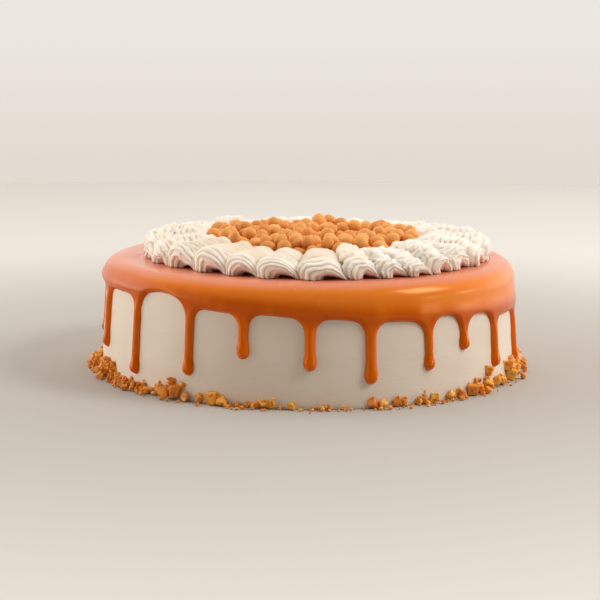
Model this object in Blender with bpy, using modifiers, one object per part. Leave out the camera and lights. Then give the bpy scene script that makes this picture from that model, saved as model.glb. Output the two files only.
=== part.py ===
"""Drip cake: a round cream cake under a caramel glaze that runs down its side.

A ring of piped cream swirls stands on the glaze, a heap of toffee balls fills the
ring, and praline bits lie round the foot. Metres, +Z up; the origin is the middle
of the cake's underside, and -Y is the front. Azimuth runs from the front (0) to the
right-hand side (+90 degrees).
"""

from math import cos, degrees, pi, radians, sin, sqrt
from random import Random

import bmesh
import bpy
from mathutils import Euler, Matrix, Vector

GAP = 0.0003  # left between pieces that touch
SEGMENTS = 72  # round the cake and its glaze
SHARP_ANGLE = radians(40.0)  # edges sharper than this shade as edges

# The cream-covered cake
CAKE_HEIGHT = 0.063
CAKE_RADIUS = 0.1177  # just under the rounded top edge
BASE_FLARE = 0.0042  # the foot stands out this much further
FLARE_CURVE = 1.3
TOP_ROUNDING = 0.0086
ROUNDING_STEPS = 3
FOOT_CHAMFER = 0.0007
SIDE_HEIGHTS = (0.038, 0.018)  # rows that follow the flare

# The caramel glaze
GLAZE_THICKNESS = 0.0018
RIM_DROP = 0.0010  # the glaze thins to a rounded lower rim
BAND_LEVEL = 0.0462  # mean height of its lower edge above the floor
BAND_TILT = 0.0080  # it hangs this much lower at the right, and higher at the left
BAND_SAG = 0.0030  # it gathers this much lower where a drip leaves it
DRIP_PROUD = 0.0023
BULB_PROUD = 0.0030
DRIP_NECK = 0.0075  # length of the funnel that narrows from the band to the stem
BULB_WIDTH = 1.14  # of the stem's width
# azimuth, height of the tip above the floor, stem width, rise of the arch after it
FRONT_DRIPS = (
    (-93.0, 0.0165, 0.0058, 0.0010),
    (-70.0, 0.0170, 0.0062, 0.0000),
    (-50.6, 0.0091, 0.0058, 0.0042),
    (-31.3, 0.0140, 0.0058, -0.0008),
    (-16.2, 0.0255, 0.0058, 0.0006),
    (0.6, 0.0205, 0.0056, 0.0012),
    (15.9, 0.0132, 0.0060, 0.0012),
    (32.1, 0.0176, 0.0056, 0.0036),
    (44.2, 0.0255, 0.0056, 0.0030),
    (58.6, 0.0117, 0.0060, -0.0006),
    (77.5, 0.0080, 0.0062, 0.0000),
    (96.0, 0.0112, 0.0058, 0.0015),
)
BACK_DRIPS = 8

# The piped ring
SWIRLS = 30
# azimuths between the swirls in front; the others are spread evenly round the back
FRONT_BORDERS = (-57.3, -42.5, -29.8, -18.6, -5.4, 8.7, 19.1, 28.1, 37.4, 47.5)
BORDER_JITTER = 1.1
RING_CENTRE = Vector((0.0045, -0.0035, 0.0))
RING_OUTER = 0.1010
RING_INNER = 0.0605
SWIRL_HEIGHT = 0.0102  # at the outer end, front and back
SIDE_RISE = 0.18  # the swirls stand this share higher at the left and right
INNER_RISE = 0.20  # the inner end stands this share higher than the outer one
LIP_DEPTH = 0.0052  # how far the outer face rounds over
INNER_ROUNDING = 0.0085
RIDGE_HEIGHT = 0.0008
RIDGES = 3

# The toffee heap
BALL_RADIUS = 0.0043
HEAP_CORE_RADIUS = 0.0572
HEAP_CORE_HEIGHT = 0.0105
HEAP_DOME = 0.0012
HEAP_BALLS = 72
BALL_FACETS = 1.08  # flat facets cut inside a ball's true surface
GOLDEN_ANGLE = 137.508
TOP_BALLS = ((172.0, 0.026), (-118.0, 0.031), (95.0, 0.024), (-40.0, 0.018), (35.0, 0.036))

# The praline bits round the foot: azimuth, half spread, rows high, size
BIT_HEAPS = (
    (-81.0, 4.0, 2, 0.95),
    (-67.0, 4.5, 3, 1.15),
    (-51.0, 7.0, 1, 0.75),
    (-37.0, 3.0, 2, 1.45),
    (-28.5, 2.0, 1, 0.80),
    (-22.0, 0.5, 1, 1.45),
    (-9.0, 4.0, 1, 0.85),
    (18.5, 3.5, 1, 0.85),
    (31.0, 4.0, 1, 0.85),
    (40.5, 3.0, 1, 1.05),
    (51.0, 4.0, 2, 1.10),
    (67.0, 5.0, 3, 1.15),
    (84.0, 5.0, 2, 1.05),
    (112.0, 6.0, 1, 1.20),
    (141.0, 5.0, 1, 1.20),
    (173.0, 6.0, 2, 1.10),
    (206.0, 5.0, 1, 1.20),
    (238.0, 7.0, 1, 1.20),
)
BIT_RADIUS = 0.0031
BIT_CLEARANCE = 0.0008  # kept beside a drip

GLAZE_TOP = CAKE_HEIGHT + GAP + GLAZE_THICKNESS


def clear_scene():
    for thing in list(bpy.data.objects):
        bpy.data.objects.remove(thing, do_unlink=True)


def collection(name):
    found = bpy.data.collections.new(name)
    bpy.context.scene.collection.children.link(found)
    return found


def plain_material(name, colour, roughness):
    made = bpy.data.materials.new(name)
    made.use_nodes = True
    shader = made.node_tree.nodes["Principled BSDF"]
    shader.inputs["Base Color"].default_value = (*colour, 1.0)
    shader.inputs["Roughness"].default_value = roughness
    shader.inputs["Metallic"].default_value = 0.0
    return made


def add_object(name, mesh, group, material):
    made = bpy.data.objects.new(name, mesh)
    mesh.materials.clear()
    mesh.materials.append(material)
    group.objects.link(made)
    return made


def mesh_of(points, faces, name):
    """A closed mesh with its faces turned outward."""
    mesh = bpy.data.meshes.new(name)
    mesh.from_pydata([tuple(p) for p in points], [], faces)
    form = bmesh.new()
    form.from_mesh(mesh)
    bmesh.ops.recalc_face_normals(form, faces=form.faces)
    form.to_mesh(mesh)
    form.free()
    return mesh


def turned(profile, steps, name):
    """The closed solid that a profile makes when it turns round the Z axis."""
    line = bpy.data.meshes.new(name + "_profile")
    edges = [(i, i + 1) for i in range(len(profile) - 1)]
    line.from_pydata([(r, 0.0, z) for r, z in profile], edges, [])
    guide = bpy.data.objects.new(name + "_profile", line)
    bpy.context.scene.collection.objects.link(guide)
    screw = guide.modifiers.new("turn", "SCREW")
    screw.steps = screw.render_steps = steps
    screw.use_merge_vertices = True
    screw.merge_threshold = 0.00005
    screw.use_normal_calculate = True
    mesh = evaluated_mesh(guide)
    bpy.data.objects.remove(guide, do_unlink=True)
    return mesh


def evaluated_mesh(thing):
    graph = bpy.context.evaluated_depsgraph_get()
    return bpy.data.meshes.new_from_object(thing.evaluated_get(graph))


def fuse(main, pieces, solver):
    """One Boolean union of a collection's pieces into the main object, applied."""
    join = main.modifiers.new("fuse", "BOOLEAN")
    join.operation = "UNION"
    join.operand_type = "COLLECTION"
    join.collection = pieces
    join.solver = solver
    joined = evaluated_mesh(main)
    main.modifiers.clear()
    main.data = joined
    for piece in list(pieces.objects):
        bpy.data.objects.remove(piece, do_unlink=True)
    bpy.data.collections.remove(pieces)
    drop_scraps(joined)


def drop_scraps(mesh):
    """Keep the largest body, where bodies are faces joined along edges."""
    form = bmesh.new()
    form.from_mesh(mesh)
    left = set(form.faces)
    bodies = []
    while left:
        front = [left.pop()]
        body = set(front)
        while front:
            for edge in front.pop().edges:
                for face in edge.link_faces:
                    if face in left:
                        left.remove(face)
                        body.add(face)
                        front.append(face)
        bodies.append(body)
    bodies.sort(key=len)
    for body in bodies[:-1]:
        bmesh.ops.delete(form, geom=list(body), context="FACES")
    form.to_mesh(mesh)
    form.free()


def smooth(group):
    """Round pieces shade smoothly, and their real edges stay crisp."""
    for thing in group.objects:
        thing.data.shade_smooth()
        thing.data.set_sharp_from_angle(angle=SHARP_ANGLE)


def polar(azimuth, radius, height):
    """A point at an azimuth in degrees, from the front towards the right."""
    angle = radians(azimuth)
    return Vector((radius * sin(angle), -radius * cos(angle), height))


def side_radius(height):
    """Radius of the cream side, which flares towards the foot."""
    share = min(max(1.0 - height / CAKE_HEIGHT, 0.0), 1.0)
    return CAKE_RADIUS + BASE_FLARE * share**FLARE_CURVE


def cap_profile(grown, side_heights):
    """Points from the axis over the rounded top edge and down the side, grown outward."""
    rounding = TOP_ROUNDING + grown
    top = CAKE_HEIGHT + grown
    middle_height = top - rounding
    middle_radius = side_radius(middle_height) + grown - rounding
    points = [(0.0, top)]
    for i in range(ROUNDING_STEPS + 1):
        angle = pi / 2 * (1 - i / ROUNDING_STEPS)
        points.append((middle_radius + rounding * cos(angle), middle_height + rounding * sin(angle)))
    for height in side_heights:
        points.append((side_radius(height) + grown, height))
    return points


def cream_body(group, material):
    foot = side_radius(0.0)
    profile = cap_profile(0.0, (*SIDE_HEIGHTS, FOOT_CHAMFER))
    profile += [(foot - FOOT_CHAMFER, 0.0), (0.0, 0.0)]
    return add_object("cake_body", turned(profile, SEGMENTS, "cake_body"), group, material)


def nugget(radius, draw):
    """An angular broken bit: a cube, or a twenty-sided ball if large, knocked out of true."""
    form = bmesh.new()
    if radius > BIT_RADIUS * 1.25:
        bmesh.ops.create_icosphere(form, subdivisions=1, radius=radius)
    else:
        bmesh.ops.create_cube(form, size=radius * 1.5)
    stretch = Vector([draw.uniform(0.75, 1.15) for _ in range(3)])
    turn = Euler([draw.uniform(0.0, 2 * pi) for _ in range(3)]).to_matrix().to_4x4()
    for vertex in form.verts:
        vertex.co = vertex.co * draw.uniform(0.82, 1.15) * stretch
    bmesh.ops.transform(form, matrix=turn, verts=form.verts)
    mesh = bpy.data.meshes.new("bit")
    form.to_mesh(mesh)
    form.free()
    return mesh


def clear_of_drips(azimuth, top, reach, drips):
    """Whether a bit under the given height stays beside or below every drip."""
    for drip_azimuth, tip, width, _ in drips:
        apart = abs((azimuth - drip_azimuth + 180.0) % 360.0 - 180.0)
        beside = radians(apart) * side_radius(0.0) > width * 0.62 + reach + BIT_CLEARANCE
        if not beside and top > tip - 0.0012:
            return False
    return True


def praline_bits(drips):
    """(place, radius) of the bits: rows along the foot, some further out, some on top."""
    draw = Random(42)
    places = []
    for middle, spread, rows, size in BIT_HEAPS:
        azimuth = middle - spread
        while azimuth <= middle + spread:
            fullness = 1.0 - 0.8 * ((azimuth - middle) / spread) ** 2
            height = 0.0
            for row in range(1 + round((rows - 1) * fullness)):
                radius = BIT_RADIUS * size * draw.uniform(0.75, 1.2)
                level = height + radius * 0.75
                height = level + radius * 0.45
                if not clear_of_drips(azimuth, level + 1.2 * radius, 1.2 * radius, drips):
                    continue
                reach = side_radius(level) + 0.40 * radius
                places.append((polar(azimuth, reach, level), radius))
                if row == 0 and draw.random() < 0.2 + 0.1 * rows:
                    places.append((polar(azimuth + 0.8, reach + 1.2 * radius, level * 0.8), radius * 0.8))
            azimuth += degrees(BIT_RADIUS * size / side_radius(0.0)) * draw.uniform(2.0, 2.9)
    return places


def fuse_bits(body, drips):
    draw = Random(7)
    pieces = collection("bits")
    for place, radius in praline_bits(drips):
        mesh = nugget(radius, draw)
        for vertex in mesh.vertices:
            vertex.co += place
            vertex.co.z = max(vertex.co.z, 0.0002)
        pieces.objects.link(bpy.data.objects.new("bit", mesh))
    fuse(body, pieces, "MANIFOLD")


def all_drips():
    """The drips that show, and more of them round the back."""
    draw = Random(12)
    first = FRONT_DRIPS[-1][0]
    step = (360.0 + FRONT_DRIPS[0][0] - first) / (BACK_DRIPS + 1)
    back = []
    for i in range(BACK_DRIPS):
        azimuth = first + step * (i + 1) + draw.uniform(-2.5, 2.5)
        tip = draw.uniform(0.009, 0.027)
        width = draw.uniform(0.0054, 0.0062)
        back.append((azimuth, tip, width, draw.uniform(0.0, 0.004)))
    return list(FRONT_DRIPS) + back


def band_edge(azimuth, drips):
    """Height of the glaze's lower edge: arches between the drips, on a tilted level."""
    level = BAND_LEVEL - BAND_TILT * sin(radians(azimuth))
    for drip, following in zip(drips, drips[1:] + drips[:1]):
        span = (following[0] - drip[0]) % 360.0
        along = (azimuth - drip[0]) % 360.0
        if along < span:
            arch = sin(pi * along / span)
            return level + drip[3] * arch - BAND_SAG * (1.0 - arch) ** 2.5
    return level


def glaze_cap(drips, group, material):
    """The poured glaze: a turned shell whose lowest rows follow the wavy edge."""
    outer = cap_profile(GAP + GLAZE_THICKNESS, (BAND_LEVEL,))
    inner = cap_profile(GAP, (BAND_LEVEL,))
    rim = (outer[-1][0] - GLAZE_THICKNESS * 0.4, BAND_LEVEL - RIM_DROP)
    mesh = turned(outer + [rim] + inner[::-1], SEGMENTS, "caramel_glaze")
    for vertex in mesh.vertices:
        if vertex.co.z < BAND_LEVEL + GAP:
            azimuth = degrees(-Vector((0.0, -1.0)).angle_signed(vertex.co.xy))
            height = vertex.co.z - BAND_LEVEL + band_edge(azimuth, drips)
            radius = vertex.co.xy.length + side_radius(height) - side_radius(BAND_LEVEL)
            vertex.co = polar(azimuth, radius, height)
    return add_object("caramel_glaze", mesh, group, material)


def drip_mesh(drip, drips):
    """One drip: half-round sections down the side, from the band to the rounded tip."""
    azimuth, tip, width, _ = drip
    edge = band_edge(azimuth, drips)
    bulb = width * BULB_WIDTH
    hidden = 0.0014  # inside the band the drip is thinner than the band
    # height, width, how far it stands off the cream, how far its back stands off
    stations = (
        (edge + 0.4 * DRIP_NECK, width * 2.3, hidden, hidden / 2),
        (edge - 0.13 * DRIP_NECK, width * 1.7, GLAZE_THICKNESS, GAP),
        (edge - 0.45 * DRIP_NECK, width * 1.22, DRIP_PROUD, GAP),
        (edge - DRIP_NECK, width, DRIP_PROUD, GAP),
        (tip + bulb * 1.1, width, DRIP_PROUD, GAP),
        (tip + bulb * 0.45, bulb, BULB_PROUD, GAP),
        (tip, bulb * 0.55, BULB_PROUD * 0.6, GAP),
    )
    steps = 4
    points = []
    for height, across, proud, back in stations:
        for j in range(steps + 1):
            turn = pi * j / steps
            sideways = degrees(-across / 2 * cos(turn) / side_radius(height))
            out = side_radius(height) + back + (GAP + proud - back) * sin(turn)
            points.append(polar(azimuth + sideways, out, height))
    return mesh_of(points, tube_faces(len(stations), steps + 1), "drip")


def tube_faces(rows, around):
    """Faces of a closed tube of sections, with both ends filled."""
    faces = [tuple(range(around)), tuple(range((rows - 1) * around, rows * around))]
    for i in range(rows - 1):
        for j in range(around):
            k = (j + 1) % around
            faces.append((i * around + j, i * around + k, (i + 1) * around + k, (i + 1) * around + j))
    return faces


def fuse_drips(glaze, drips):
    pieces = collection("drips")
    for drip in drips:
        pieces.objects.link(bpy.data.objects.new("drip", drip_mesh(drip, drips)))
    fuse(glaze, pieces, "MANIFOLD")


def swirl_sections():
    """(inward share of the depth, size of the arch) from the outer hollow to the inner end."""
    depth = RING_OUTER - RING_INNER
    sections = []
    steps = 2 * RIDGES
    for i in range(steps + 1):
        angle = radians(-70.0 + 160.0 * i / steps)
        ridge = RIDGE_HEIGHT * (1 if i % 2 else -1)
        inward = LIP_DEPTH - (LIP_DEPTH + ridge) * cos(angle)
        size = 0.60 + (0.40 + ridge / SWIRL_HEIGHT) * sin(angle)
        sections.append((inward, size))
    for angle in (90.0, 50.0, 14.0):
        inward = depth - INNER_ROUNDING + INNER_ROUNDING * cos(radians(angle))
        sections.append((inward, 0.34 + 0.66 * sin(radians(angle))))
    return sections


def swirl_mesh(start, end, height, outer, inner, lean):
    """One piped swirl between two azimuths: a leaning arch, ridged at its outer end."""
    steps = 6
    scale = (outer - inner) / (RING_OUTER - RING_INNER)
    points = []
    sections = swirl_sections()
    for inward, size in sections:
        radius = outer - inward * scale
        along = inward * scale / (outer - inner)
        rise = height * (1.0 + INNER_RISE * min(along * 1.4, 1.0))
        fullness = 0.80 - 0.25 * min(along * 3.0, 1.0)
        spare = degrees(GAP / 2 / radius)
        for j in range(steps + 1):
            turn = pi * j / steps
            across = -cos(turn) - lean * sin(turn)
            share = 0.5 + 0.12 * (1.0 - size) * (along < 0.3) + 0.5 * size * across
            azimuth = start + spare + (end - start - 2 * spare) * min(max(share, 0.0), 1.0)
            level = GLAZE_TOP + GAP + rise * size * sin(turn) ** fullness
            points.append(polar(azimuth, radius, level) + RING_CENTRE)
    return mesh_of(points, arch_faces(len(sections), steps + 1), "swirl")


def arch_faces(rows, across):
    """Faces over a row of arches, their two ends, and the flat underside."""
    faces = [tuple(range(across)), tuple(range((rows - 1) * across, rows * across))]
    for i in range(rows - 1):
        for j in range(across - 1):
            a = i * across + j
            faces.append((a, a + 1, a + 1 + across, a + across))
    left = [i * across for i in range(rows)]
    right = [i * across + across - 1 for i in range(rows)]
    faces.append(tuple(left + right[::-1]))
    return faces


def swirl_borders(draw):
    """Azimuths of all the borders between swirls, once round from the first to itself."""
    first = FRONT_BORDERS[0] + 360.0
    last = FRONT_BORDERS[-1]
    others = SWIRLS - len(FRONT_BORDERS) + 1
    step = (first - last) / others
    back = [last + step * i + draw.uniform(-BORDER_JITTER, BORDER_JITTER) for i in range(1, others)]
    return [*FRONT_BORDERS, *back, first]


def cream_ring(group, material):
    draw = Random(5)
    borders = swirl_borders(draw)
    for i, (start, end) in enumerate(zip(borders, borders[1:])):
        sideways = sin(radians((start + end) / 2)) ** 2
        height = SWIRL_HEIGHT * (1.0 + SIDE_RISE * sideways) * draw.uniform(0.92, 1.08)
        outer = RING_OUTER + draw.uniform(-0.0015, 0.0012)
        inner = RING_INNER + draw.uniform(-0.0003, 0.0016)
        mesh = swirl_mesh(start, end, height, outer, inner, draw.uniform(0.12, 0.30))
        add_object(f"cream_swirl_{i + 1:02d}", mesh, group, material)


def heap_height(radius):
    """Height of the heap's core above the glaze: a low dome with a steep, rounded edge."""
    share = min(radius / HEAP_CORE_RADIUS, 1.0)
    return HEAP_CORE_HEIGHT * sqrt(1.0 - share**10) + HEAP_DOME * (1.0 - share**2)


def ball_places():
    """(place, radius) of the balls: an even spiral over the core, and a few on top."""
    draw = Random(3)
    edge = RING_INNER - BALL_RADIUS - 0.0009
    places = []
    for i in range(HEAP_BALLS):
        radius = edge * sqrt((i + 0.5) / HEAP_BALLS)
        azimuth = GOLDEN_ANGLE * i + draw.uniform(-2.0, 2.0)
        size = BALL_RADIUS * draw.uniform(0.92, 1.08)
        level = GLAZE_TOP + HEAP_CORE_HEIGHT + draw.uniform(0.0012, 0.0030)
        places.append((polar(azimuth, radius, level) + RING_CENTRE, size))
    for azimuth, radius in TOP_BALLS:
        level = GLAZE_TOP + HEAP_CORE_HEIGHT + BALL_RADIUS * 1.5
        places.append((polar(azimuth, radius, level) + RING_CENTRE, BALL_RADIUS))
    return places


def toffee_heap(group, material):
    bottom = GLAZE_TOP + GAP
    profile = [(0.0, GLAZE_TOP + heap_height(0.0))]
    for share in (0.55, 0.86, 0.98):
        radius = HEAP_CORE_RADIUS * share
        profile.append((radius, GLAZE_TOP + heap_height(radius)))
    profile += [(HEAP_CORE_RADIUS, bottom + 0.002), (HEAP_CORE_RADIUS, bottom), (0.0, bottom)]
    mesh = turned(profile, 20, "toffee_heap")
    mesh.transform(Matrix.Translation(RING_CENTRE))
    heap = add_object("toffee_heap", mesh, group, material)
    draw = Random(19)
    pieces = collection("balls")
    for place, size in ball_places():
        form = bmesh.new()
        bmesh.ops.create_icosphere(form, subdivisions=1, radius=size * BALL_FACETS)
        turn = Euler([draw.uniform(0.0, 2 * pi) for _ in range(3)]).to_matrix().to_4x4()
        bmesh.ops.transform(form, matrix=Matrix.Translation(place) @ turn, verts=form.verts)
        ball = bpy.data.meshes.new("ball")
        form.to_mesh(ball)
        form.free()
        pieces.objects.link(bpy.data.objects.new("ball", ball))
    fuse(heap, pieces, "EXACT")


def main():
    clear_scene()
    cake = collection("drip_cake")
    cream = plain_material("whipped cream", (0.80, 0.74, 0.64), 0.55)
    caramel = plain_material("caramel glaze", (0.56, 0.17, 0.03), 0.22)
    piped = plain_material("piped cream", (0.86, 0.80, 0.70), 0.60)
    toffee = plain_material("toffee", (0.62, 0.28, 0.10), 0.65)
    drips = all_drips()
    body = cream_body(cake, cream)
    fuse_bits(body, drips)
    glaze = glaze_cap(drips, cake, caramel)
    fuse_drips(glaze, drips)
    cream_ring(cake, piped)
    toffee_heap(cake, toffee)
    smooth(cake)


main()
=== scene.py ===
"""Looks of a drip cake: smoothed cream, poured caramel that runs down in drips, a piped
ring, toffee balls and praline bits. Metres, +Z up, the front is -Y, and azimuth runs in
degrees from the front (0) to the right-hand side (90)."""

from bisect import bisect_left
from math import asin, atan2, cos, exp, hypot, pi, radians, sin, sqrt
from random import Random

import bmesh
import bpy
import numpy as np
from mathutils import Matrix, Vector, noise


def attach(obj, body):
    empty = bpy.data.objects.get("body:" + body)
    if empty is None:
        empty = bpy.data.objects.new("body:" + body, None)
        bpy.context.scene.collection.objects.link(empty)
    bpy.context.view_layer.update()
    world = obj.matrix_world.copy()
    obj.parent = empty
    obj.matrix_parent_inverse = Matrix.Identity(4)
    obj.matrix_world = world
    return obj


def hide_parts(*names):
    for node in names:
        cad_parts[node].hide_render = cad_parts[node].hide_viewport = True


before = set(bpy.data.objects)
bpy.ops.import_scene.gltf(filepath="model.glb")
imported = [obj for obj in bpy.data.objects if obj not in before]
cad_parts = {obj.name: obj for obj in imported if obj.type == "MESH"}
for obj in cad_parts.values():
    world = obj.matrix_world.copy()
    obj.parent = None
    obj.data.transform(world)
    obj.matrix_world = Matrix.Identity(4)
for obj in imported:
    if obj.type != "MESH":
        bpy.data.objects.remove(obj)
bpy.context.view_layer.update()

# The sizes from here to the first function are those of the solids

# The cream-covered cake
GAP = 0.0003  # left between pieces that touch
CAKE_HEIGHT = 0.063
CAKE_RADIUS = 0.1177  # just under the rounded top edge
BASE_FLARE = 0.0042  # the foot stands out this much further
FLARE_CURVE = 1.3
TOP_ROUNDING = 0.0086
EDGE_LEVEL = CAKE_HEIGHT - TOP_ROUNDING  # where the side starts to round in to the top
FOOT_CHAMFER = 0.0007

# The caramel glaze
GLAZE_THICKNESS = 0.0018
GLAZE_TOP = CAKE_HEIGHT + GAP + GLAZE_THICKNESS
BAND_LEVEL = 0.0462  # mean height of the band's lower edge above the floor
BAND_TILT = 0.0080  # it hangs this much lower at the right, and higher at the left
BAND_SAG = 0.0030  # it gathers this much lower where a drip leaves it
DRIP_PROUD = 0.0023  # how far a stem and a bulb stand off the cream
BULB_PROUD = 0.0030
BULB_WIDTH = 1.14  # of the stem's width
# azimuth, height of the tip, stem width, rise of the arch after it
FRONT_DRIPS = (
    (-93.0, 0.0165, 0.0058, 0.0010),
    (-70.0, 0.0170, 0.0062, 0.0000),
    (-50.6, 0.0091, 0.0058, 0.0042),
    (-31.3, 0.0140, 0.0058, -0.0008),
    (-16.2, 0.0255, 0.0058, 0.0006),
    (0.6, 0.0205, 0.0056, 0.0012),
    (15.9, 0.0132, 0.0060, 0.0012),
    (32.1, 0.0176, 0.0056, 0.0036),
    (44.2, 0.0255, 0.0056, 0.0030),
    (58.6, 0.0117, 0.0060, -0.0006),
    (77.5, 0.0080, 0.0062, 0.0000),
    (96.0, 0.0112, 0.0058, 0.0015),
)
BACK_DRIPS = 8

# The piped ring and the toffee balls
SWIRLS = 30
# azimuths between the swirls in front; the others are spread evenly round the back
FRONT_BORDERS = (-57.3, -42.5, -29.8, -18.6, -5.4, 8.7, 19.1, 28.1, 37.4, 47.5)
BORDER_JITTER = 1.1
RING_CENTRE = Vector((0.0045, -0.0035, 0.0))
RING_OUTER = 0.1010
RING_INNER = 0.0605
SWIRL_HEIGHT = 0.0102  # at the outer end, front and back
SIDE_RISE = 0.18  # the swirls stand this share higher at the left and right
INNER_RISE = 0.20  # the inner end stands this share higher than the outer one
INNER_ROUNDING = 0.0085
BALL_RADIUS = 0.0043


def polar(azimuth, radius, height):
    """A point at an azimuth in degrees, from the front towards the right."""
    angle = radians(azimuth)
    return Vector((radius * sin(angle), -radius * cos(angle), height))


def turn_between(azimuth, other):
    """Signed degrees from the other azimuth."""
    return (azimuth - other + 180.0) % 360.0 - 180.0


def ease(value, low, high):
    """0 below low, 1 above high, and smooth between."""
    share = min(max((value - low) / (high - low), 0.0), 1.0)
    return share * share * (3.0 - 2.0 * share)


def ripple(place, pitch, amount):
    """Smooth unevenness of a given size, the same each run."""
    return amount * noise.noise(Vector(place) / pitch)


# what the three parts of a push are read at, so that they differ
PUSH_SHIFTS = (Vector((9.3, -1.5, -7.9)), Vector((0.0, 0.0, 0.0)), Vector((6.3, 0.2, -2.7)))


def push(place):
    """A smooth push in some direction, the same each run."""
    return Vector([noise.noise(place + shift) for shift in PUSH_SHIFTS])


def side_radius(height):
    """Radius of the cream side, which flares towards the foot."""
    share = min(max(1.0 - height / CAKE_HEIGHT, 0.0), 1.0)
    return CAKE_RADIUS + BASE_FLARE * share**FLARE_CURVE


# ---------------------------------------------------------------- materials


class Wire:
    """A value or colour in a graph. Arithmetic on it adds Math nodes."""

    def __init__(self, graph, socket):
        self.graph = graph
        self.socket = socket

    def maths(self, operation, first, second):
        return self.graph.node("ShaderNodeMath", {"operation": operation}, {0: first, 1: second})

    def __add__(self, other):
        return self.maths("ADD", self, other)

    def __radd__(self, other):
        return self.maths("ADD", other, self)

    def __sub__(self, other):
        return self.maths("SUBTRACT", self, other)

    def __rsub__(self, other):
        return self.maths("SUBTRACT", other, self)

    def __mul__(self, other):
        return self.maths("MULTIPLY", self, other)

    def __rmul__(self, other):
        return self.maths("MULTIPLY", other, self)


class Graph:
    """A shader graph built up in plain expressions."""

    def __init__(self, owner, shader):
        owner.use_nodes = True
        self.owner = owner
        self.tree = owner.node_tree
        self.shader = self.tree.nodes[shader]

    def join(self, value, socket):
        """Link a wire to a socket, or set a plain value on it."""
        if isinstance(value, Wire):
            self.tree.links.new(value.socket, socket)
        elif isinstance(value, tuple) and len(value) == 3 and len(socket.default_value) == 4:
            socket.default_value = (*value, 1.0)
        else:
            socket.default_value = value

    def node(self, kind, settings, sockets, output=0):
        """Any node: its type, its settings, and the values or links of its sockets."""
        made = self.tree.nodes.new(kind)
        for key, value in settings.items():
            setattr(made, key, value)
        for key, value in sockets.items():
            self.join(value, made.inputs[key])
        return Wire(self, made.outputs[output])

    def span(self, value, low, high, to_low=0.0, to_high=1.0):
        """A smooth step between two values, either way round."""
        sockets = {0: value, 1: low, 2: high, 3: to_low, 4: to_high}
        return self.node("ShaderNodeMapRange", {"interpolation_type": "SMOOTHSTEP"}, sockets)

    def mix(self, share, first, second):
        """A colour part of the way from the first to the second."""
        return self.node("ShaderNodeMix", {"data_type": "RGBA"}, {0: share, 6: first, 7: second}, 2)


def socket_name(key):
    """The shader's own name of a socket, such as Base Color for base_color."""
    return key.replace("_", " ").title().replace("Ior", "IOR")


class Finish(Graph):
    """A material on one Principled shader."""

    def __init__(self, name, **constants):
        super().__init__(bpy.data.materials.new(name), "Principled BSDF")
        for key, value in constants.items():
            self.shader.inputs[socket_name(key)].default_value = value

    def place(self):
        return self.node("ShaderNodeTexCoord", {}, {}, "Object")

    def stretched(self, scale):
        """Object coordinates, squeezed or drawn out along each axis."""
        return self.node("ShaderNodeMapping", {}, {"Vector": self.place(), "Scale": scale})

    def axis(self, name):
        return self.node("ShaderNodeSeparateXYZ", {}, {0: self.place()}, name)

    def grain(self, size, detail, rough=0.5, stretch=(1.0, 1.0, 1.0)):
        """Noise whose features are about the given size in metres."""
        sockets = {"Vector": self.stretched(stretch), "Scale": 1.0 / size}
        sockets |= {"Detail": detail, "Roughness": rough}
        return self.node("ShaderNodeTexNoise", {}, sockets)

    def attribute(self, name):
        return self.node("ShaderNodeAttribute", {"attribute_name": name}, {}, "Fac")

    def bump(self, height, distance, strength, under=None):
        """Relief, on top of the relief under it."""
        sockets = {"Height": height, "Distance": distance, "Strength": strength}
        if under is not None:
            sockets["Normal"] = under
        return self.node("ShaderNodeBump", {}, sockets)

    def finish(self, **sockets):
        """Link what changes over the surface, and hand over the material."""
        for key, value in sockets.items():
            self.join(value, self.shader.inputs[socket_name(key)])
        return self.owner


# Colours; a pair goes from the darker to the paler
SCRAPED_CREAM = ((0.78, 0.665, 0.545), (0.82, 0.715, 0.60))
CREAM_STREAK = (0.73, 0.61, 0.50)
# the band is paler higher up: partly thinner caramel, partly painted light from above
CARAMEL_SIDE = ((0.72, 0.122, 0.0), (0.86, 0.222, 0.024))
CARAMEL_BELT = (0.54, 0.070, 0.0)
# painted reflection: the top is painted a paler pink for the bright light above mirrored in it
CARAMEL_TOP_REFLECTION = (0.78, 0.258, 0.152)
CARAMEL_FLOW = (0.90, 0.24, 0.01)
PIPED_CREAM = ((0.745, 0.60, 0.44), (0.80, 0.685, 0.545))
# painted light: the swirls' faces, and their tops where the light falls, are painted whiter
PIPED_LIT_FACE = (0.97, 0.885, 0.785)
# painted shade: the grooves and the foot of a swirl are painted darker and warmer, with some caramel
# stain at the foot
PIPED_FOLD_SHADE = (0.76, 0.62, 0.53)
TOFFEE = ((0.76, 0.285, 0.054), (0.97, 0.478, 0.128))
TOFFEE_PATCH = (0.88, 0.46, 0.15)
TOFFEE_SPECK = (0.46, 0.13, 0.022)
PRALINE = ((0.85, 0.265, 0.011), (0.98, 0.50, 0.055))
NUT_CRUMB = (0.96, 0.55, 0.12)
BURNT_SUGAR = (0.38, 0.080, 0.003)

# Heights between which the caramel changes; all but the top follow the tilt of its band
SIDE_THIN_AND_LIT = (0.046, 0.0610)
BELT_STARTS = (0.0405, 0.0470)
BELT_ENDS = (0.0580, 0.0500)
DRIPS_START = (0.045, 0.037)
TOP_REFLECTION_STARTS = (0.0605, 0.0645)


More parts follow.
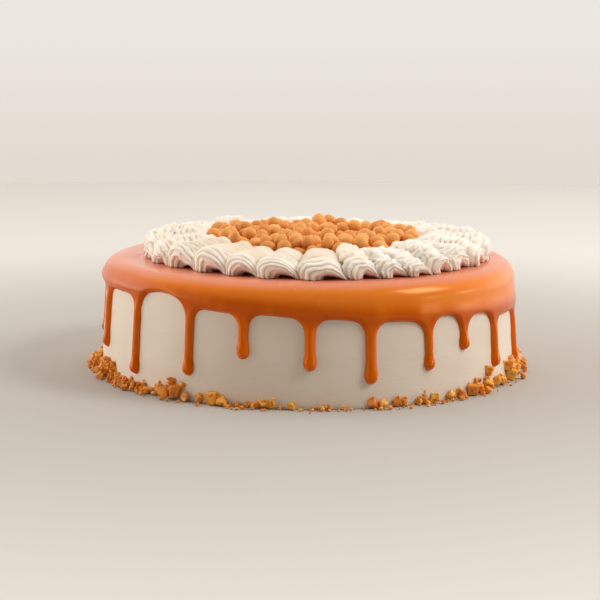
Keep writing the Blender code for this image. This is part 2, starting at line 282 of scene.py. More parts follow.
def smoothed_cream_finish():
    """Whipped cream drawn smooth with a scraper: faint level streaks and small pits."""
    made = Finish("smoothed cream", subsurface_weight=0.25, subsurface_scale=0.004, ior=1.42)
    made.shader.inputs["Subsurface Radius"].default_value = (1.0, 0.75, 0.5)
    streaks = made.grain(0.010, 4.0, 0.6, (1.0, 1.0, 7.0))
    patches = made.grain(0.045, 2.0)
    fine = made.grain(0.0007, 2.0)
    cells = {"Vector": made.place(), "Scale": 95.0}
    pits = made.node("ShaderNodeTexVoronoi", {"feature": "F1"}, cells)
    pitted = made.span(pits, 0.02, 0.085) * made.span(patches, 0.35, 0.6)
    pitted = pitted + made.span(patches, 0.6, 0.35)
    colour = made.mix(made.span(patches, 0.3, 0.7), *SCRAPED_CREAM)
    colour = made.mix(made.span(streaks, 0.55, 0.8) * 0.35, colour, CREAM_STREAK)
    relief = made.bump(streaks, 0.0005, 0.22)
    relief = made.bump(fine, 0.0001, 0.35, relief)
    relief = made.bump(pitted, 0.0004, 0.6, relief)
    rough = made.span(fine, 0.3, 0.7, 0.42, 0.58)
    return made.finish(base_color=colour, roughness=rough, normal=relief)


def caramel_finish():
    """Poured caramel: glossy; pinker on top, a painted reflection of the bright light above; paler up
    its band, partly thinner caramel and partly painted light; and deepest in colour in a belt low on
    its band.
    """
    made = Finish("caramel glaze", ior=1.48, specular_tint=(1.0, 0.58, 0.24, 1.0))
    height = made.axis("Z")
    band = height + made.axis("X") * (BAND_TILT / CAKE_RADIUS)
    flow = made.grain(0.016, 3.0, 0.5, (1.0, 1.0, 0.35))
    cloud = made.grain(0.035, 2.0)
    # paler higher up the band: partly thinner caramel, partly painted light
    colour = made.mix(made.span(band + (cloud - 0.5) * 0.010, *SIDE_THIN_AND_LIT), *CARAMEL_SIDE)
    belt = made.span(band, *BELT_STARTS) * made.span(band, *BELT_ENDS)
    colour = made.mix(belt * 0.75, colour, CARAMEL_BELT)
    # painted reflection of the bright light above makes the top pinker
    colour = made.mix(made.span(height, *TOP_REFLECTION_STARTS), colour, CARAMEL_TOP_REFLECTION)
    colour = made.mix(made.span(flow, 0.5, 0.75) * 0.35, colour, CARAMEL_FLOW)
    relief = made.bump(made.grain(0.014, 1.0, 0.5, (1.0, 1.6, 1.0)), 0.0008, 0.3)
    rough = made.span(cloud, 0.3, 0.7, 0.21, 0.29) - made.span(band, *DRIPS_START) * 0.10
    return made.finish(base_color=colour, roughness=rough, normal=relief)


def piped_cream_finish():
    """Piped cream: whitest on its faces and on tops where the light falls, which is painted light, and
    darker and warmer in its grooves and at its foot, which is painted shade with some caramel stain at
    the foot.
    """
    made = Finish("piped cream", subsurface_weight=0.6, subsurface_scale=0.006, ior=1.42)
    made.shader.inputs["Subsurface Radius"].default_value = (1.0, 0.8, 0.6)
    patches = made.grain(0.012, 3.0)
    fine = made.grain(0.0009, 3.0, 0.6)
    colour = made.mix(made.span(patches, 0.35, 0.7), *PIPED_CREAM)
    # painted light: whiter on the faces and on the tops where the light falls
    colour = made.mix(made.attribute("face"), colour, PIPED_LIT_FACE)
    # painted shade in the grooves and at the foot, with some caramel stain at the foot
    colour = made.mix(made.attribute("fold"), colour, PIPED_FOLD_SHADE)
    relief = made.bump(fine, 0.00018, 0.5)
    rough = made.span(patches, 0.3, 0.7, 0.45, 0.6)
    return made.finish(base_color=colour, roughness=rough, normal=relief)


def toffee_finish():
    """Toffee balls: matt and slightly grainy, each a little lighter or darker."""
    made = Finish("toffee balls", ior=1.45)
    patches = made.grain(0.0035, 3.0)
    fine = made.grain(0.0005, 3.0, 0.65)
    colour = made.mix(made.attribute("tint"), *TOFFEE)
    colour = made.mix(made.span(patches, 0.5, 0.75) * 0.5, colour, TOFFEE_PATCH)
    colour = made.mix(made.span(fine, 0.60, 0.72) * 0.40, colour, TOFFEE_SPECK)
    relief = made.bump(patches, 0.0005, 0.35)
    relief = made.bump(fine, 0.00016, 0.6, relief)
    rough = made.span(fine, 0.3, 0.7, 0.5, 0.72)
    return made.finish(base_color=colour, roughness=rough, normal=relief)


def praline_finish():
    """Broken praline: amber sugar, paler where a nut shows and darker where it has burnt."""
    made = Finish("praline bits", subsurface_weight=0.3, subsurface_scale=0.003, ior=1.5)
    nuts = made.grain(0.0022, 2.0)
    fine = made.grain(0.0006, 3.0, 0.6)
    # tint: each bit's own tone, made darker on the left as painted shade
    colour = made.mix(made.attribute("tint"), *PRALINE)
    colour = made.mix(made.span(nuts, 0.56, 0.66) * 0.35, colour, NUT_CRUMB)
    colour = made.mix(made.span(nuts, 0.46, 0.34) * 0.6, colour, BURNT_SUGAR)
    relief = made.bump(nuts, 0.0007, 0.6)
    relief = made.bump(fine, 0.0002, 0.6, relief)
    rough = made.span(nuts, 0.4, 0.65, 0.16, 0.42)
    return made.finish(base_color=colour, roughness=rough, normal=relief)


# ------------------------------------------------------------------- meshes


def add_piece(name, form, material, slot, *nodes):
    """A finished mesh as a piece of the cake that stands for the named nodes."""
    bmesh.ops.recalc_face_normals(form, faces=form.faces)
    mesh = bpy.data.meshes.new(name)
    form.to_mesh(mesh)
    form.free()
    mesh.shade_smooth()
    mesh.materials.append(material)
    piece = bpy.data.objects.new(name, mesh)
    bpy.context.scene.collection.objects.link(piece)
    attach(piece, "root")
    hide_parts(*nodes)
    return piece


def turned_sheet(rows, columns):
    """A tube of unit radius and unit row spacing, spun round Z, ready to be shaped."""
    form = bmesh.new()
    line = [form.verts.new((0.0, -1.0, -float(row))) for row in range(rows)]
    for upper, lower in zip(line, line[1:]):
        form.edges.new((upper, lower))
    bmesh.ops.spin(
        form,
        geom=form.verts[:] + form.edges[:],
        cent=(0.0, 0.0, 0.0),
        axis=(0.0, 0.0, 1.0),
        angle=2.0 * pi,
        steps=columns,
        use_merge=True,
    )
    return form


def row_and_share(vertex):
    """Row of a vertex of a turned sheet, and its share of the way round."""
    share = atan2(vertex.co.x, -vertex.co.y) / (2.0 * pi)
    return round(-vertex.co.z), share % 1.0


def rounded_edge(grown, steps, last=0.0):
    """(radius, height, slope) down the rounded top edge, grown outward, to a last slope."""
    rounding = TOP_ROUNDING + grown
    middle_radius = side_radius(EDGE_LEVEL) - TOP_ROUNDING
    points = []
    for i in range(steps + 1):
        slope = pi / 2.0 + (last - pi / 2.0) * i / steps
        height = EDGE_LEVEL + rounding * sin(slope)
        points.append((middle_radius + rounding * cos(slope), height, slope))
    return points


def on_cream(azimuth, height, stand):
    """A point that stands off the cream, on the side or on the rounded top edge."""
    slope = asin(min(max(height - EDGE_LEVEL, 0.0) / TOP_ROUNDING, 1.0))
    radius = side_radius(min(height, EDGE_LEVEL)) - TOP_ROUNDING * (1.0 - cos(slope))
    return polar(azimuth, radius + stand * cos(slope), height + stand * sin(slope))


CREAM_COLUMNS = 288
EDGE_ROWS = 8  # round the top edge, of the cream and of the glaze
SIDE_ROWS = 25
FLAT_RADIUS = 0.09  # inside this the cream is flat, on top and below
STREAK_PITCH = 0.006  # low level streaks that the scraper leaves
STREAK_DEPTH = 0.00016
BULGE_PITCH = 0.05  # and the broad unevenness of the side
BULGE_DEPTH = 0.00025


def cream_cake(material):
    """The smoothed cream all round the cake, with its underside."""
    profile = [(0.0, CAKE_HEIGHT), (0.05, CAKE_HEIGHT), (FLAT_RADIUS, CAKE_HEIGHT)]
    profile += [(radius, height) for radius, height, _ in rounded_edge(0.0, EDGE_ROWS)]
    for i in range(1, SIDE_ROWS + 1):
        height = EDGE_LEVEL + (FOOT_CHAMFER - EDGE_LEVEL) * i / SIDE_ROWS
        profile.append((side_radius(height), height))
    foot = side_radius(0.0)
    profile += [(foot - 0.3 * FOOT_CHAMFER, 0.3 * FOOT_CHAMFER), (foot - FOOT_CHAMFER, 0.0)]
    profile += [(FLAT_RADIUS, 0.0), (0.04, 0.0), (0.0, 0.0)]
    form = turned_sheet(len(profile), CREAM_COLUMNS)
    for vertex in form.verts:
        row, share = row_and_share(vertex)
        radius, height = profile[row]
        azimuth = 360.0 * share
        around = polar(azimuth, 1.0, 0.0)
        loose = ease(height, 0.0, 0.004) * ease(radius, FLAT_RADIUS, 0.11)
        streak_spot = (around.x * 3.0, around.y * 3.0, height / STREAK_PITCH)
        streak = ripple(streak_spot, 1.0, STREAK_DEPTH)
        bulge_spot = (around.x * 2.0, around.y * 2.0, height / BULGE_PITCH)
        bulge = ripple(bulge_spot, 1.0, BULGE_DEPTH)
        vertex.co = polar(azimuth, radius + loose * (streak + bulge), height)
    bmesh.ops.remove_doubles(form, verts=form.verts, dist=1e-6)
    return add_piece("smoothed_cream", form, material, "whipped_cream", "cake_body")


# ----------------------------------------------------------- the poured glaze

FUNNEL = 0.0070  # fillet where a drip leaves the band
GLAZE_BEAD = 0.0029  # width over which the glaze's edge rounds down to the cream
BEAD_CURVE = 2.4
BELLY = 0.0008  # the band is this much thicker a little above its lower edge
BELLY_RISE = 0.0046  # how far above
BELLY_SPREAD = 0.0048
NECK_FILLET = 0.0020  # where a stem widens into its bulb
BULB_STRETCH = 1.25  # a bulb is this much taller than wide
BULB_SPREAD = 0.0036
DRIP_REACH = 9.0  # degrees to either side in which a drip is felt
TILT_LIMIT = -0.62  # on the left the band's edge rises no further than here
SHOULDER_SLOPE = radians(35.0)  # where the top of the sheet ends and its rows on the side start
SHOULDER = EDGE_LEVEL + TOP_ROUNDING * sin(SHOULDER_SLOPE)
BURIED = 0.0012  # how deep under the cream's surface the sheet goes
CUT_OFF = 0.0005  # faces with all their corners deeper than this are taken away
WAVE_PITCH = 0.022  # the slow waves of a poured surface
WAVE_DEPTH = 0.00022


def all_drips():
    """The drips that show, and more of them round the back."""
    draw = Random(12)
    first = FRONT_DRIPS[-1][0]
    step = (360.0 + FRONT_DRIPS[0][0] - first) / (BACK_DRIPS + 1)
    back = []
    for i in range(BACK_DRIPS):
        azimuth = first + step * (i + 1) + draw.uniform(-2.5, 2.5)
        tip = draw.uniform(0.009, 0.027)
        width = draw.uniform(0.0054, 0.0062)
        back.append((azimuth, tip, width, draw.uniform(0.0, 0.004)))
    return list(FRONT_DRIPS) + back


def band_level(azimuth):
    """Height of the band's lower edge without its arches: lower on the right."""
    return BAND_LEVEL - BAND_TILT * max(sin(radians(azimuth)), TILT_LIMIT)


def band_edge(azimuth, drips):
    """Height of the glaze's lower edge, with its arches between the drips."""
    level = band_level(azimuth)
    for drip, following in zip(drips, drips[1:] + drips[:1]):
        span = (following[0] - drip[0]) % 360.0
        along = (azimuth - drip[0]) % 360.0
        if along < span:
            arch = sin(pi * along / span)
            return level + drip[3] * arch - BAND_SAG * (1.0 - arch) ** 2.5
    return level


def joined(first, second, fillet):
    """The larger of two depths inside an outline, with a fillet where they cross."""
    return max(first, second) + max(fillet - abs(first - second), 0.0) ** 2 / (4.0 * fillet)


def glaze_stand(azimuth, height, edge, drips):
    """How far the glaze stands off the cream here; below zero it is under the cream."""
    depth = height - edge
    full = GAP + GLAZE_THICKNESS
    full += (DRIP_PROUD - GLAZE_THICKNESS) * ease(edge - height, -0.002, 0.006)
    belly = BELLY * exp(-(((height - band_level(azimuth) - BELLY_RISE) / BELLY_SPREAD) ** 2))
    full += belly * ease(SHOULDER - height, 0.0, 0.005)
    for place, tip, width, _ in drips:
        across = radians(turn_between(azimuth, place)) * side_radius(height)
        half = width * BULB_WIDTH / 2.0
        stem = width / 2.0 - hypot(across, min(height - tip - width / 2.0, 0.0))
        drop = half - hypot(across, (height - tip - BULB_STRETCH * half) / BULB_STRETCH)
        depth = joined(joined(stem, drop, NECK_FILLET), depth, FUNNEL)
        bulge = exp(-(((height - tip - half) / BULB_SPREAD) ** 2))
        full += (BULB_PROUD - DRIP_PROUD) * bulge * ease(half * 1.5 - abs(across), 0.0, half)
    share = depth / GLAZE_BEAD
    if share >= 1.0:
        return full
    if share <= 0.0:
        return max(full * BEAD_CURVE * share, -BURIED)
    return full * (1.0 - (1.0 - share) ** BEAD_CURVE)


# How closely the columns of the sheet stand beside a drip and elsewhere; it is 1 on a drip
BESIDE_DENSITY = 0.35
PLAIN_DENSITY = 0.12
ON_DRIP = 0.0050  # distances from the middle of a drip
BESIDE_DRIP = 0.010


def column_azimuths(drips, columns):
    """Azimuths of the sheet's columns, gathered where the drips are."""
    samples = 3600
    total = [0.0]
    for i in range(samples):
        azimuth = 360.0 * (i + 0.5) / samples
        dense = 0.0
        for place, _, _, _ in drips:
            away = radians(abs(turn_between(azimuth, place))) * CAKE_RADIUS
            beside = BESIDE_DENSITY * exp(-((away / BESIDE_DRIP) ** 4))
            dense = max(dense, exp(-((away / ON_DRIP) ** 4)), beside)
        total.append(total[-1] + PLAIN_DENSITY + dense)
    azimuths = []
    for i in range(columns):
        wanted = total[-1] * i / columns
        k = max(bisect_left(total, wanted), 1)
        part = (wanted - total[k - 1]) / (total[k] - total[k - 1])
        azimuths.append(360.0 * (k - 1 + part) / samples)
    return azimuths


GLAZE_COLUMNS = 880
TOP_RADII = (0.0, 0.035, 0.060, 0.078, 0.088, 0.095, 0.100, 0.104)  # rows on the flat top
BAND_ROWS = 14
LIP_ROWS = (0.0029, 0.0023, 0.0018, 0.0013, 0.0009, 0.0005, 0.0002, -0.0002, -0.0007)
STEM_ROWS = (16, 14, 18)  # near the band, along the stem, round the tip
STEM_END = 0.0085  # length of the first and the last of these
BELOW_TIP = 0.0009  # where a column ends


def side_heights(edge, tip):
    """Heights of one column's rows, from the shoulder over the lip to below the tip."""
    drop = edge + LIP_ROWS[0] - SHOULDER
    heights = [SHOULDER + drop * i / BAND_ROWS for i in range(1, BAND_ROWS)]
    heights += [edge + offset for offset in LIP_ROWS]
    top = heights[-1]
    bottom = tip - BELOW_TIP
    near = min(STEM_END, 0.35 * (top - bottom))
    marks = (top, top - near, bottom + near, bottom)
    for count, start, end in zip(STEM_ROWS, marks, marks[1:]):
        heights += [start + (end - start) * i / count for i in range(1, count + 1)]
    return heights


def poured_caramel(drips, material):
    """One sheet over the top, round the edge and down the side, out along every drip."""
    cap = [(radius, GLAZE_TOP, pi / 2.0) for radius in TOP_RADII]
    cap += rounded_edge(GAP + GLAZE_THICKNESS, EDGE_ROWS, SHOULDER_SLOPE)
    azimuths = column_azimuths(drips, GLAZE_COLUMNS)
    edges = [band_edge(azimuth, drips) for azimuth in azimuths]
    columns = []
    for azimuth, edge in zip(azimuths, edges):
        near = [drip for drip in drips if abs(turn_between(azimuth, drip[0])) < DRIP_REACH]
        nearest = min(drips, key=lambda drip: abs(turn_between(azimuth, drip[0])))
        columns.append((near, side_heights(edge, nearest[1])))
    form = turned_sheet(len(cap) + len(columns[0][1]), len(azimuths))
    buried = set()
    for vertex in form.verts:
        row, share = row_and_share(vertex)
        column = round(share * len(azimuths)) % len(azimuths)
        azimuth = azimuths[column]
        if row < len(cap):
            radius, height, slope = cap[row]
            wave = ripple(polar(azimuth, radius, height), WAVE_PITCH, WAVE_DEPTH)
            wave *= ease(radius, 0.055, 0.075)
            place = polar(azimuth, radius + wave * cos(slope), height + wave * sin(slope))
        else:
            near, heights = columns[column]
            height = heights[row - len(cap)]
            stand = glaze_stand(azimuth, height, edges[column], near)
            body = ease(height, edges[column] - 0.002, edges[column] + 0.003)
            wave = body * ripple(on_cream(azimuth, height, stand), WAVE_PITCH, WAVE_DEPTH)
            place = on_cream(azimuth, height, stand + wave)
            if stand < -CUT_OFF:
                buried.add(vertex)
        vertex.co = place
    hidden = [face for face in form.faces if all(vertex in buried for vertex in face.verts)]
    bmesh.ops.delete(form, geom=hidden, context="FACES")
    bmesh.ops.remove_doubles(form, verts=form.verts, dist=1e-6)
    return add_piece("poured_caramel", form, material, "caramel", "caramel_glaze")


# ------------------------------------------------------------- the piped ring

LIP_DEPTH = 0.0068  # how far a swirl's face rounds over, more than in the solids
CAVE_DEPTH = 0.0052  # how far the hollow at its foot goes in
FOOT_TURN = radians(-58.0)  # where the face turns in under itself
FACE_SIZE = 0.60  # of the arch where the face stands out furthest; it is 1 at the crest
END_SIZE = 0.30  # of the arch at the foot of the inner end
RIDGE_DEPTH = 0.0014
TOP_RIDGE_PITCH = 0.0036
# A swirl is smooth in front and ruffled round the rest of the ring. Azimuths between which it
# changes, to the right and to the left of the front
RUFFLE_RIGHT = (-8.0, 26.0)
RUFFLE_LEFT = (34.0, 72.0)
# A pair is a value for a smooth swirl, and one for a ruffled swirl
TOP_RIDGE_DEPTH = (0.0009, 0.0022)
RIDGE_REACH = (0.020, 0.042)  # how far in the ridges on top fade out
OVERLAP = (0.10, 0.24)  # share of its width that a swirl's body runs under its neighbours
UNEVEN = (0.0010, 0.0022)
ROUGH = (0.00025, 0.00085)
UNEVEN_PITCH = 0.0075
ROUGH_PITCH = 0.0024
ACROSS_ROWS = 44
ALONG_ROWS = 116
# Shares of the way along a swirl: mouth of its hollow, crest of its face, start of its inner end
MOUTH = 0.10
CREST = 0.54
INNER_END = 0.87
# The nine swirls in front. Height of the arch and of the body behind it, as parts of the usual
# height; how much further out it reaches; lean
FRONT_SHAPES = (
    (1.22, 1.12, 0.0000, 0.24),
    (1.24, 1.14, 0.0005, 0.30),
    (1.18, 1.12, 0.0010, 0.22),
    (1.14, 1.10, 0.0020, 0.32),
    (1.06, 1.12, 0.0034, 0.20),
    (0.98, 1.16, 0.0034, 0.34),
    (0.92, 1.14, 0.0034, 0.48),
    (0.92, 1.14, 0.0020, 0.52),
    (0.94, 1.16, 0.0005, 0.22),
)


def swirl_borders(draw):
    """Azimuths of all the borders between swirls, once round from the first to itself."""
    first = FRONT_BORDERS[0] + 360.0
    last = FRONT_BORDERS[-1]
    others = SWIRLS - len(FRONT_BORDERS) + 1
    step = (first - last) / others
    back = [last + step * i + draw.uniform(-BORDER_JITTER, BORDER_JITTER) for i in range(1, others)]
    return [*FRONT_BORDERS, *back, first]


def shelf(turns):
    """A row of ridges, round above and cut in sharply below: -1 in a groove, 0 on a ridge."""
    share = turns % 1.0
    if share < 0.32:
        return sin(pi / 2.0 * share / 0.32) - 1.0
    return cos(pi / 2.0 * (share - 0.32) / 0.68) ** 0.9 - 1.0


def between(pair, share):
    """A value part of the way from the first of a pair to the second."""
    return pair[0] + (pair[1] - pair[0]) * share


def swirl_path(share, ridges, phase):
    """(inward, size, groove) along a swirl: out of its hollow, up its face and inward."""
    depth = RING_OUTER - RING_INNER
    if share < MOUTH:
        inside = 1.0 - share / MOUTH
        foot = LIP_DEPTH * (1.0 - cos(FOOT_TURN))
        size = FACE_SIZE + (1.0 - FACE_SIZE) * sin(FOOT_TURN) - 0.10 * inside
        return foot + (CAVE_DEPTH - foot) * inside, size, -1.0
    if share < CREST:
        along = (share - MOUTH) / (CREST - MOUTH)
        angle = FOOT_TURN + (pi / 2.0 - FOOT_TURN) * along
        groove = shelf(ridges * along**0.9 + phase)
        swell = RIDGE_DEPTH * groove * ease(along, -0.1, 0.12)
        inward = LIP_DEPTH - LIP_DEPTH * cos(angle) - swell * cos(angle)
        return inward, FACE_SIZE + (1.0 - FACE_SIZE + swell / SWIRL_HEIGHT) * sin(angle), groove
    if share < INNER_END:
        along = (share - CREST) / (INNER_END - CREST)
        inward = LIP_DEPTH + (depth - INNER_ROUNDING - LIP_DEPTH) * along**1.1
        return inward, 1.0, 0.0
    angle = pi / 2.0 * (1.0 - (share - INNER_END) / (1.0 - INNER_END))
    inward = depth - INNER_ROUNDING + INNER_ROUNDING * cos(angle)
    return inward, END_SIZE + (1.0 - END_SIZE) * sin(angle), 0.0


def swirl_form(start, end, height, outer, inner, shape, draw):
    """One piped swirl: a leaning, ridged wave in front that runs in to a softer dome.

    A flat grid is bent to it, across from one side to the other and along from the foot of
    the face over the crest to the inner end."""
    form = bmesh.new()
    bmesh.ops.create_grid(form, x_segments=ACROSS_ROWS, y_segments=ALONG_ROWS, size=0.5)
    fold = form.verts.layers.float.new("fold")
    face = form.verts.layers.float.new("face")
    scale = (outer - inner) / (RING_OUTER - RING_INNER)
    seed = Vector((draw.uniform(0.0, 9.0), draw.uniform(0.0, 9.0), draw.uniform(0.0, 9.0)))
    twist = draw.uniform(0.2, 1.4)
    ridges = draw.uniform(4.0, 5.2)
    phase = draw.uniform(-0.15, 0.15)
    bend = draw.uniform(0.3, 0.9)
    arch, body, reach, lean = shape
    middle = (start + end) / 2.0
    ruffled = max(ease(middle, *RUFFLE_RIGHT), ease(-middle, *RUFFLE_LEFT))
    faded = between(RIDGE_REACH, ruffled)
    top_depth = between(TOP_RIDGE_DEPTH, ruffled)
    overlap = between(OVERLAP, ruffled)
    uneven = between(UNEVEN, ruffled)
    rough = between(ROUGH, ruffled)
    # how far the foot is pinched together, more so on the right; and how pale the top is, which is
    # painted light: paler round the sides and back, palest on the right where the light is strongest,
    # and warmer on the left
    closed = (0.35 + 0.65 * ease(middle, 10.0, 30.0)) * draw.uniform(0.6, 1.0)
    pale = 0.22 + 0.78 * ruffled**2 * (0.62 + 0.38 * ease(sin(radians(middle)), -1.0, 0.2))
    crest_groove = shelf(ridges + phase)
    for vertex in form.verts:
        across_share, share = vertex.co.x + 0.5, vertex.co.y + 0.5
        turn = pi * across_share  # round the arch
        sway = 0.10 * noise.noise(Vector((across_share * 2.6, share * 3.0, 0.0)) + seed)
        inward, size, groove = swirl_path(share, ridges, phase + sway * 3.0)
        size -= 0.13 * closed * (1.0 - size)
        along = inward * scale / (outer - inner)
        rise = height * (arch + (body - arch) * ease(inward, 0.002, 0.016))
        rise *= 1.0 + INNER_RISE * min(along * 1.4, 1.0) * 0.6
        radius = outer - inward * scale + reach * (1.0 - ease(inward, 0.0, 0.020))
        if share >= CREST:
            turns = (inward - LIP_DEPTH) / TOP_RIDGE_PITCH + bend * sin(turn) + sway * 6.0
            fade = (1.0 - ease(inward, LIP_DEPTH, faded) * 0.85) * (0.75 + 0.35 * abs(cos(turn)))
            past_crest = ease(inward, LIP_DEPTH, LIP_DEPTH + 0.002)
            last_ridge = RIDGE_DEPTH * crest_groove * (1.0 - past_crest)
            groove = top_depth * fade * shelf(turns) * past_crest
            size += (last_ridge + groove) / SWIRL_HEIGHT
            groove = groove / RIDGE_DEPTH
        fullness = 0.80 - 0.25 * min(along * 3.0, 1.0)
        across = -cos(turn) - lean * sin(turn)
        behind = ease(inward, 0.003, 0.010)
        tail = ease(across_share, 0.55, 1.0) * (1.0 - behind)  # the low end that trails off
        shrink = 0.12 * (1.0 - size) * (along < 0.3)
        stretch = 1.0 + overlap * (behind + tail)
        trail = 0.3 * tail * (1.0 - size) * (1.0 - shrink)
        where = 0.5 + shrink + 0.5 * size * across * stretch + trail
        azimuth = start + (end - start) * where + twist * ease(along, 0.1, 0.8)
        level = rise * size * (sin(turn) ** fullness * (1.0 - tail) + tail * sin(turn) ** 1.3)
        place = polar(azimuth, radius - 0.0020 * tail, GLAZE_TOP + GAP + level) + RING_CENTRE
        wobble = push(place / UNEVEN_PITCH + seed) * uneven
        wobble += push(place / ROUGH_PITCH + seed) * rough
        place += wobble * ease(level, 0.0, 0.003)
        vertex.co = place
        # painted light: the front face is painted whitest, and the top as pale as the light falling on
        # it
        vertex[face] = max(1.0 - ease(inward, 0.004, 0.014), pale)
        # painted shade down in the grooves and low at the foot, with some caramel stain at the foot
        vertex[fold] = min(max(-groove, 0.0), 1.0) * 0.55 + 0.45 * (1.0 - ease(level, 0.0, 0.005))
    rim = [edge for edge in form.edges if edge.is_boundary]
    bmesh.ops.contextual_create(form, geom=rim)
    return form


def piped_ring(material):
    """The ring of swirls, each a piece of its own."""
    draw = Random(5)  # the same sizes as in the solids
    look = Random(23)  # and what only this scene has
    borders = swirl_borders(draw)
    for i, (start, end) in enumerate(zip(borders, borders[1:])):
        sideways = sin(radians((start + end) / 2.0)) ** 2
        height = SWIRL_HEIGHT * (1.0 + SIDE_RISE * sideways) * draw.uniform(0.92, 1.08)
        outer = RING_OUTER + draw.uniform(-0.0015, 0.0012)
        inner = RING_INNER + draw.uniform(-0.0003, 0.0016)
        lean = draw.uniform(0.12, 0.30)
        heights = (look.uniform(0.96, 1.10), look.uniform(1.02, 1.14))
        shape = (*heights, look.uniform(-0.0005, 0.0012), lean)
        if i < len(FRONT_SHAPES):
            shape = FRONT_SHAPES[i]
        form = swirl_form(start, end, height, outer, inner, shape, look)
        number = f"swirl_{i + 1:02d}"
        add_piece("piped_" + number, form, material, "piped_cream", "cream_" + number)


# ----------------------------------------------------------------- the toppings

HEAP_BALLS = 215
MOST_TRIES = 900
HEAP_CENTRE = Vector((0.0022, -0.0035, 0.0))
HEAP_FLOOR = GLAZE_TOP + 0.0022  # the lowest balls sink a little into the core
HEAP_TOP = 0.0828  # a ball that would stand higher is left out
HEAP_SPREAD = 0.0016  # how far the balls lie out over the inner ends of the swirls
LAST_ROLL = 0.0002  # a ball that gets no lower by steps of this is at rest
CORE_DEPTH = 0.0040
LUMP_PITCH = 0.0044
LUMP_DEPTH = 0.13  # of the ball's size
# Balls that lie on top of the rest: place, and the height of the top of the ball
TOP_BALLS = (
    (0.0054, 0.0290, 0.0858),
    (-0.0212, 0.0196, 0.0848),
    (0.0270, 0.0118, 0.0846),
    (-0.0372, 0.0056, 0.0838),
    (0.0505, -0.0190, 0.0826),
    (0.0123, -0.0080, 0.0836),
    (-0.0052, 0.0020, 0.0836),
)


def resting_level(x, y, size, placed):
    """Centre height of a ball that touches down here on the floor or on other balls."""
    level = HEAP_FLOOR + size
    if len(placed):
        reach = (placed[:, 3] + size) ** 2 - (placed[:, 0] - x) ** 2 - (placed[:, 1] - y) ** 2
        touched = reach > 0.0
        if touched.any():
            level = max(level, float((placed[touched, 2] + np.sqrt(reach[touched])).max()))
    return level


def settled_balls():
    """Balls dropped one after another, each rolled to where it comes to rest."""
    draw = Random(11)
    placed = np.zeros((0, 4))
    tries = 0
    while len(placed) < HEAP_BALLS and tries < MOST_TRIES:
        tries += 1
        size = BALL_RADIUS * draw.uniform(0.92, 1.08)
        limit = RING_INNER - size + HEAP_SPREAD
        radius = limit * sqrt(draw.random())
        angle = draw.uniform(0.0, 2.0 * pi)
        x, y = radius * cos(angle), radius * sin(angle)
        level = resting_level(x, y, size, placed)
        step = size
        while step > LAST_ROLL:
            lower = None
            for k in range(8):
                near_x = x + step * cos(pi * k / 4.0)
                near_y = y + step * sin(pi * k / 4.0)
                if hypot(near_x, near_y) < limit:
                    found = resting_level(near_x, near_y, size, placed)
                    if found < level - 1e-6:
                        level = found
                        lower = (near_x, near_y)
            if lower is None:
                step *= 0.5
            else:
                x, y = lower
        if level + size < HEAP_TOP:
            placed = np.vstack((placed, (x, y, level, size)))
    return placed, draw


def any_turn(draw):
    """A turn that may bring any side up."""
    angles = [draw.uniform(0.0, 2.0 * pi) for _ in range(3)]
    turn = Matrix.Rotation(angles[0], 4, "X") @ Matrix.Rotation(angles[1], 4, "Y")
    return turn @ Matrix.Rotation(angles[2], 4, "Z")


def toffee_balls(material):
    """The heap of toffee balls, on a core that closes the gaps between the lowest."""
    placed, draw = settled_balls()
    for x, y, top in TOP_BALLS:
        x, y = x - HEAP_CENTRE.x, y - HEAP_CENTRE.y
        placed = placed[np.hypot(placed[:, 0] - x, placed[:, 1] - y) > 1.1 * BALL_RADIUS]
        level = min(resting_level(x, y, BALL_RADIUS, placed), top - BALL_RADIUS)
        placed = np.vstack((placed, (x, y, level, BALL_RADIUS)))
    form = bmesh.new()
    tint = form.verts.layers.float.new("tint")
    for x, y, level, size in placed:
        made = bmesh.ops.create_icosphere(form, subdivisions=2, radius=size)
        stretch = Vector((draw.uniform(0.84, 1.02), draw.uniform(0.86, 1.02), draw.uniform(0.98, 1.20)))
        turn = any_turn(draw)
        shade = draw.random()
        seed = Vector((x, y, level)) * 300.0
        for vertex in made["verts"]:
            lump = 1.0 + LUMP_DEPTH * noise.noise(vertex.co / LUMP_PITCH + seed)
            vertex.co = vertex.co * stretch * lump
            vertex[tint] = shade
        place = Matrix.Translation(Vector((x, y, level)) + HEAP_CENTRE)
        bmesh.ops.transform(form, matrix=place @ turn, verts=made["verts"])
    made = bmesh.ops.create_cone(
        form,
        cap_ends=True,
        segments=48,
        radius1=RING_INNER - 0.004,
        radius2=RING_INNER - 0.006,
        depth=CORE_DEPTH,
    )
    middle = Vector((0.0, 0.0, GLAZE_TOP + GAP + CORE_DEPTH / 2.0))
    core = Matrix.Translation(middle + RING_CENTRE)
    bmesh.ops.transform(form, matrix=core, verts=made["verts"])
    return add_piece("toffee_balls", form, material, "toffee", "toffee_heap")


